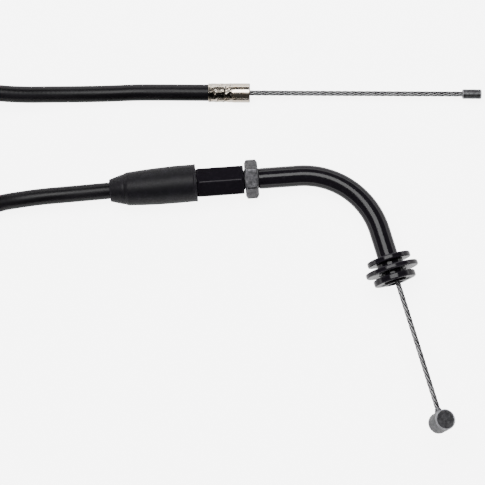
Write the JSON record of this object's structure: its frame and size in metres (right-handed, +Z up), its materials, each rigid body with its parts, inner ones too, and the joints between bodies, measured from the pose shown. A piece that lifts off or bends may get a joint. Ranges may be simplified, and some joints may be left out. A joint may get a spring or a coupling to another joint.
{
  "type": "motorcycle throttle cable",
  "caption": "Motorcycle throttle cable: black casing with a bent elbow, screw adjuster, rubber boot and flange at one end, and a crimped ferrule with bare inner wire at the other.",
  "frame": {"origin": "on the surface the cable lies on, under the middle of the box around its two rigid ends", "axes": "+X along the adjuster axis from the casing towards the elbow, +Z up from the surface"},
  "size_m": [0.2169, 0.1275, 0.0217],
  "materials": {
    "casing_vinyl": "semi-gloss black vinyl",
    "spring_steel": "bare steel winding",
    "liner_nylon": "natural nylon",
    "boot_rubber": "matte black rubber",
    "black_paint": "gloss black",
    "nut_zinc": "dark zinc grey, satin",
    "nickel_plate": "nickel plate",
    "wire_steel": "bare stranded steel",
    "solder": "dull solder",
    "cast_zinc": "cast zinc, matte",
    "nipple_steel": "dark satin steel"
  },
  "bodies": {
    "casing": {"throttle_casing_sheath": "casing_vinyl", "throttle_casing_armour": "spring_steel", "throttle_casing_liner": "liner_nylon", "casing_run_throttle": "casing_vinyl", "casing_coil": "casing_vinyl", "casing_run_carb": "casing_vinyl", "carb_casing_sheath": "casing_vinyl", "carb_casing_armour": "spring_steel", "carb_casing_liner": "liner_nylon", "carb_ferrule": "nickel_plate"},
    "end_cap": {"casing_end_cap": "nickel_plate"},
    "boot": {"rubber_boot": "boot_rubber"},
    "adjuster": {"adjuster_sleeve": "black_paint"},
    "nut": {"lock_nut": "nut_zinc"},
    "elbow": {"elbow_tube": "black_paint", "flange_bush": "black_paint", "end_flange": "black_paint"},
    "throttle_inner": {"throttle_wire": "wire_steel", "throttle_wire_solder": "solder", "barrel_nipple": "cast_zinc"},
    "carb_inner": {"carb_wire": "wire_steel", "carb_nipple": "nipple_steel"}
  },
  "joints": [
    {"name": "elbow_swivel", "type": "hinge", "parent": "casing", "child": "end_cap", "pos_m": [-0.0235, 0.0244, 0.00563], "axis": [-1, 0, 0], "range_deg": [-4, 120]},
    {"name": "boot_slide", "type": "slide", "parent": "casing", "child": "boot", "axis": [-0.9998, -0.0209, 0], "range_m": [0, 0.02]},
    {"name": "adjuster_turn", "type": "hinge", "parent": "end_cap", "child": "adjuster", "pos_m": [-0.012, 0.0244, 0.00563], "axis": [-1, 0, 0], "range_deg": [0, 2880]},
    {"name": "adjuster_travel", "type": "slide", "parent": "end_cap", "child": "elbow", "axis": [1, 0, 0], "range_m": [0, 0.008]},
    {"name": "lock_nut_turn", "type": "hinge", "parent": "adjuster", "child": "nut", "pos_m": [-0.0036, 0.0244, 0.00563], "axis": [1, 0, 0], "range_deg": [0, 90]},
    {"name": "wire_pull", "type": "slide", "parent": "elbow", "child": "throttle_inner", "axis": [0.225, -0.9624, 0.1524], "range_m": [0, 0.02]},
    {"name": "wire_return", "type": "slide", "parent": "casing", "child": "carb_inner", "axis": [-0.9972, 0.075, 0], "range_m": [0, 0.02]}
  ],
  "couplings": [
    {"joint": "adjuster_turn", "follows": "adjuster_travel", "rad_per_m": 6283.2},
    {"joint": "wire_return", "follows": "wire_pull", "ratio": 1}
  ]
}
